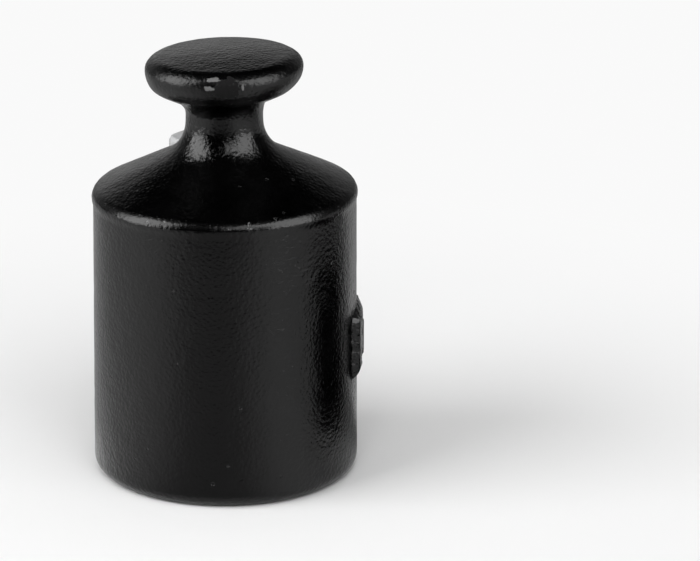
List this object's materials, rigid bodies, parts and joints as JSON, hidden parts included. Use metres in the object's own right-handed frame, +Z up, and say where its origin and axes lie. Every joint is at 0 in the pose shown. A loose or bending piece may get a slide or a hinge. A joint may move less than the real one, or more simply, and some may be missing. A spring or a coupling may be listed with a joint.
{
  "type": "scale weight",
  "caption": "Cylindrical cast iron scale weight with a sloping shoulder, a knob on a neck to lift it by, a raised pad on its side and a lead-sealed adjusting cavity.",
  "frame": {"origin": "centre of the flat foot, on the surface that the weight stands on", "axes": "+Z up along the weight's axis from foot to knob; +X out through the middle of the raised pad"},
  "size_m": [0.0538, 0.0526, 0.0857],
  "materials": {
    "painted_iron": "black gloss paint over a pebbly sand-cast skin",
    "lead_shot": "dull grey lead",
    "brass_disc": "turned, slightly tarnished",
    "hammered_lead": "hammered lead, light grey"
  },
  "bodies": {
    "root": {"weight_casting": "painted_iron", "adjusting_shot": "lead_shot", "closing_disc": "brass_disc", "lead_seal": "hammered_lead"}
  },
  "joints": []
}
